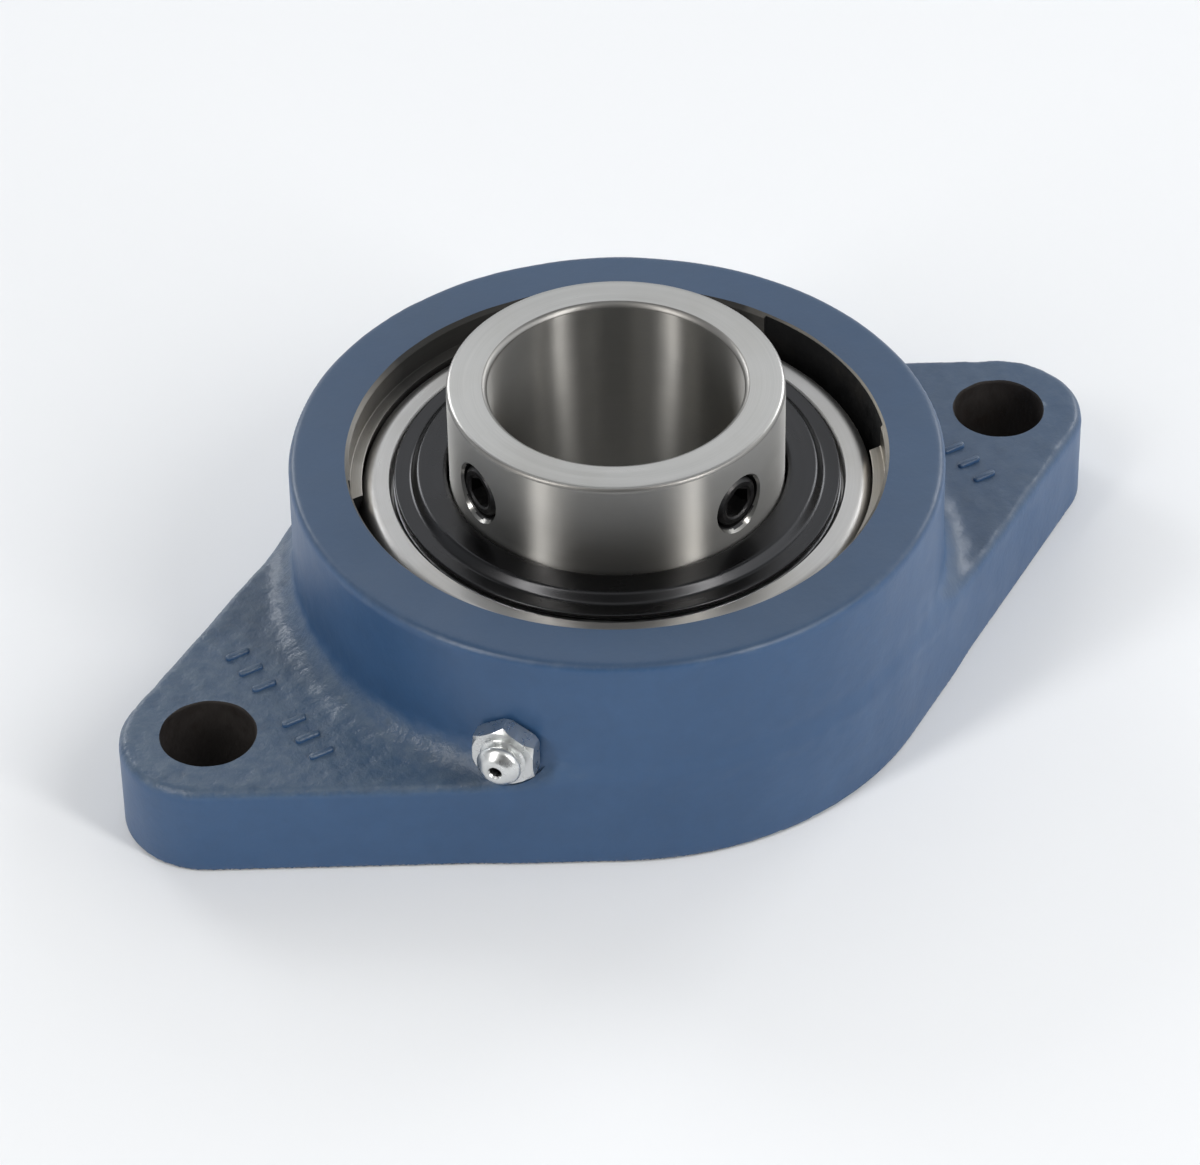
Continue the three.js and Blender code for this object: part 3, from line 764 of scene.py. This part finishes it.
slinger = fillet([(23.4, 30.0), (24.15, 30.0)], 0.1, closed=False)
slinger += fillet([(24.15, 30.0), (24.15, 31.55), (26.8, 31.55), (27.65, 30.35), (30.7, 30.35), (30.7, 31.1),
                   (28.45, 31.1), (27.4, 32.3), (23.4, 32.3), (23.4, 30.0)], 0.75, 7, closed=False)[1:-1]
shield = fillet([
    (26.0, 28.85), (29.8, 28.85), (30.85, 28.3), (30.85, 29.9), (30.25, 29.9), (30.25, 29.45), (26.0, 29.45)], 0.16)
lip = fillet([
    (23.45, 28.0), (24.15, 27.85), (28.2, 27.95), (28.2, 28.5), (24.45, 28.5), (24.45, 29.5), (23.8, 29.6), (23.45, 28.5)], 0.12)
for side, flip in (("front", list), ("rear", mirrored)):
    for what, prof, body, slot, mat in (
            ("slinger", slinger, "inner_body", "dark_slinger", MAT_SLINGER),
            ("shield", shield, "outer_body", "pressed_steel", MAT_CAGE),
            ("lip", lip, "outer_body", "seal_rubber", MAT_RUBBER)):
        v, f = turned_mesh(flip(prof), 144)
        node = f"slinger_{side}" if what == "slinger" else f"seal_{side}_{what}"
        place(link(f"{node}_formed", v, f, 30), body, node, slot=slot, material=mat)


# ------------------------------------------------------------------ set screws
for k, az in enumerate((-177, -75.5)):
    prof = [(0, 19.1), (1.45, 18.3), (2.3, 18.25), (3.2, 19.2)]
    z = 19.5
    while z < 21.4:
        prof += [(3.68, z), (3.18, z + 0.5)]
        z += 1.0
    prof += [(3.62, 21.75), (3.58, 22.15), (3.1, 22.6), (0, 22.6)]
    v, f = turned_mesh(prof, 48)
    ob = link(f"set_screw_{k + 1}_turned", aim_radial(v, az, 37.9), f)
    sv, sf = prism_mesh(2.3, 6, 20.0, 25.0)
    cv, cf = turned_mesh([(0, 22.4), (2.25, 22.4), (2.8, 22.8), (2.8, 25), (0, 25)], 48)
    boolean(ob, link("cut_a", aim_radial(sv, az, 37.9), sf))
    boolean(ob, link("cut_b", aim_radial(cv, az, 37.9), cf))
    shade(ob, 30)
    place(ob, f"screw_body_{k + 1}", f"set_screw_{k + 1}", slot="black_oxide", material=MAT_BLACK)

# ------------------------------------------------------------------ balls, cage, rivets
for i in range(9):
    a = math.radians(20 + 40 * i)
    prof = [(0, CZ - 5.556)] + arc(0, CZ, 5.556, -84, 84, 22) + [(0, CZ + 5.556)]
    v, f = turned_mesh(prof, 40)
    place(link(f"ball_{i + 1}_lapped", v + np.array([26.75 * math.cos(a), 26.75 * math.sin(a), 0]), f, 60),
          f"ball_body_{i + 1}", f"ball_{i + 1}", slot="ball_steel", material=MAT_BALL)
    b = math.radians(40 + 40 * i)
    prof = [(0, -1.75), (0.7, -1.72), (1.15, -1.58), (1.45, -1.25), (0.85, -1.25), (0.85, 1.25), (1.45, 1.25), (1.15, 1.58), (0.7, 1.72), (0, 1.75)]
    v, f = turned_mesh(prof, 24)
    place(link(f"cage_rivet_{i + 1}_headed", v + np.array([26.75 * math.cos(b), 26.75 * math.sin(b), CZ]), f, 30),
          "cage_body", f"cage_rivet_{i + 1}", slot="rivet_steel", material=MAT_ZINC)
for node in ("cage_front", "cage_rear"):
    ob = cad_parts[node]
    ob.data.materials.clear()
    ob.data.materials.append(MAT_CAGE)


# ------------------------------------------------------------------ grease nipple
def build_nipple():
    v, f = prism_mesh(4.9, 6, 45.6, 48.4)
    ob = link("grease_nipple_turned", aim_radial(v, NIPPLE_AZ, NIPPLE_Z), f)
    # chamfered hexagon
    cone, cf = turned_mesh([(0, 45.1), (4.15, 45.1), (5.0, 46.05), (5.0, 47.75), (4.15, 48.55), (0, 48.55)], 64)
    boolean(ob, link("meet", aim_radial(cone, NIPPLE_AZ, NIPPLE_Z), cf), "INTERSECT")
    prof = [(0, 38.6), (2.4, 38.6), (2.75, 39.0), (2.75, 45.9), (3.3, 48.3), (2.95, 48.58), (2.3, 48.68), (2.15, 48.85)]
    prof += [(2.3, 49.02), (2.85, 49.32), (3.03, 49.62), (3.05, 49.95), (2.86, 50.35), (2.2, 51.0), (1.8, 51.3), (1.45, 51.4), (0, 51.4)]
    sv, sf = turned_mesh(prof, 56)
    boolean(ob, link("head", aim_radial(sv, NIPPLE_AZ, NIPPLE_Z), sf), "UNION")
    bore = [(0, 37), (1.0, 37), (1.0, 43.6), (1.55, 44.0), (1.55, 50.0), (0.8, 50.75), (0.8, 51.12), (1.08, 51.55), (1.08, 53), (0, 53)]
    bv, bf = turned_mesh(bore, 40)
    boolean(ob, link("bore", aim_radial(bv, NIPPLE_AZ, NIPPLE_Z), bf))
    shade(ob, 32)
    place(ob, "housing_body", "grease_nipple_body", slot="zinc_plate", material=MAT_ZINC)
    prof = [(0, -1.1)] + arc(0, 0, 1.1, -80, 80, 14) + [(0, 1.1)]
    v, f = turned_mesh(prof, 28)
    place(link("nipple_check_ball_lapped", aim_radial(v + np.array([0, 0, 48.85]), NIPPLE_AZ, NIPPLE_Z), f, 60),
          "check_ball_body", "nipple_check_ball", slot="ball_steel", material=MAT_BALL)
    n, m = 110, 10
    v, f = [], []
    for i in range(n + 1):
        t = i / n
        a = t * 8 * math.pi
        c = np.array([math.cos(a), math.sin(a), 0])
        p = np.array([math.cos(a), math.sin(a), 44.55 + 2.75 * t])
        for j in range(m):
            b = 2 * math.pi * j / m
            v.append(p + 0.17 * (math.cos(b) * c + math.sin(b) * np.array([0, 0, 1])))
    for i in range(n):
        for j in range(m):
            k = (j + 1) % m
            f.append((i * m + j, i * m + k, (i + 1) * m + k, (i + 1) * m + j))
    f += [tuple(range(m - 1, -1, -1)), tuple(range(n * m, n * m + m))]
    place(link("nipple_spring_coiled", aim_radial(np.array(v), NIPPLE_AZ, NIPPLE_Z), f, 60),
          "housing_body", "nipple_spring", slot="spring_steel", material=MAT_ZINC)


build_nipple()

# ------------------------------------------------------------------ floor
bm = bmesh.new()
bmesh.ops.create_grid(bm, x_segments=1, y_segments=1, size=3.0)
me = bpy.data.meshes.new("floor")
bm.to_mesh(me)
bm.free()
floor = bpy.data.objects.new("floor", me)
floor.location = (0, 0, -0.0002)
bpy.context.scene.collection.objects.link(floor)
n = Nodes("floor_look")
n.link(n.ramp(n.noise(3.0, 2.0), [(0.3, (0.800, 0.808, 0.822)), (0.7, (0.812, 0.820, 0.834))]), n.bsdf.inputs["Base Color"])
n.set(Roughness=0.75, Specular_IOR_Level=0.2, Emission_Color=(0.93, 0.95, 1.0, 1.0), Emission_Strength=0.0)
me.materials.append(n.mat)


# ------------------------------------------------------------------ light
def area(name, loc, target, size_x, size_y, power, color=(1, 1, 1)):
    d = bpy.data.lights.new(name, "AREA")
    d.shape = "RECTANGLE"
    d.size, d.size_y = size_x, size_y
    d.energy = power
    d.color = color
    o = bpy.data.objects.new(name, d)
    bpy.context.scene.collection.objects.link(o)
    o.location = loc
    o.rotation_euler = (Vector(target) - Vector(loc)).to_track_quat("-Z", "Y").to_euler()
    return o


def around(name, azimuth, elevation, dist, size_x, size_y, power, color=(1, 1, 1), aim=(0, 0, 0.02)):
    a, e = math.radians(azimuth), math.radians(elevation)
    return area(name, (dist * math.cos(a) * math.cos(e), dist * math.sin(a) * math.cos(e), dist * math.sin(e) + 0.02),
                aim, size_x, size_y, power, color)


around("back_softbox", 58.7, 46, 1.15, 1.0, 0.6, 1.6, (0.97, 0.985, 1.0))
around("left_strip", -171.5, 36, 1.0, 0.14, 0.8, 4.7, (1.0, 0.99, 0.97))
around("right_strip", -73.0, 34, 1.0, 0.14, 0.8, 4.7, (1.0, 0.99, 0.97))
around("left_wall", 99.0, 26, 1.1, 0.36, 0.40, 2.8, (0.98, 0.99, 1.0))
around("right_wall", 18.0, 26, 1.1, 0.36, 0.40, 2.8, (0.98, 0.99, 1.0))
around("front_fill", -121.3, 72, 1.6, 1.2, 1.2, 1.8, (0.98, 0.99, 1.0))
around("right_fill", -30.0, 32, 1.5, 1.6, 0.9, 5.6, (0.97, 0.985, 1.0))
world = bpy.data.worlds.new("world")
bpy.context.scene.world = world
world.use_nodes = True
wt = world.node_tree
bg = wt.nodes["Background"]


def wmath(op, a, b):
    n = wt.nodes.new("ShaderNodeMath")
    n.operation = op
    for k, v in enumerate((a, b)):
        if isinstance(v, (int, float)):
            n.inputs[k].default_value = v
        else:
            wt.links.new(v, n.inputs[k])
    return n.outputs[0]


# a pale room: bright at the horizon and behind the object, darker overhead and behind the viewer
sep = wt.nodes.new("ShaderNodeSeparateXYZ")
wt.links.new(wt.nodes.new("ShaderNodeTexCoord").outputs["Generated"], sep.inputs[0])
away = wmath("ADD", wmath("MULTIPLY", sep.outputs[0], 0.519), wmath("MULTIPLY", sep.outputs[1], 0.855))
side = wt.nodes.new("ShaderNodeMapRange")
side.interpolation_type = "SMOOTHSTEP"
wt.links.new(away, side.inputs["Value"])
for key, v in (("From Min", -0.75), ("From Max", 0.35), ("To Min", 0.22), ("To Max", 0.95)):
    side.inputs[key].default_value = v
rise = wt.nodes.new("ShaderNodeMapRange")
rise.interpolation_type = "SMOOTHSTEP"
wt.links.new(sep.outputs[2], rise.inputs["Value"])
for key, v in (("From Min", 0.05), ("From Max", 0.75), ("To Min", 0.95), ("To Max", 0.28)):
    rise.inputs[key].default_value = v
bg.inputs[0].default_value = (0.93, 0.965, 1.0, 1)
wt.links.new(wmath("MULTIPLY", side.outputs[0], rise.outputs[0]), bg.inputs[1])
bpy.context.scene.view_settings.view_transform = "Standard"
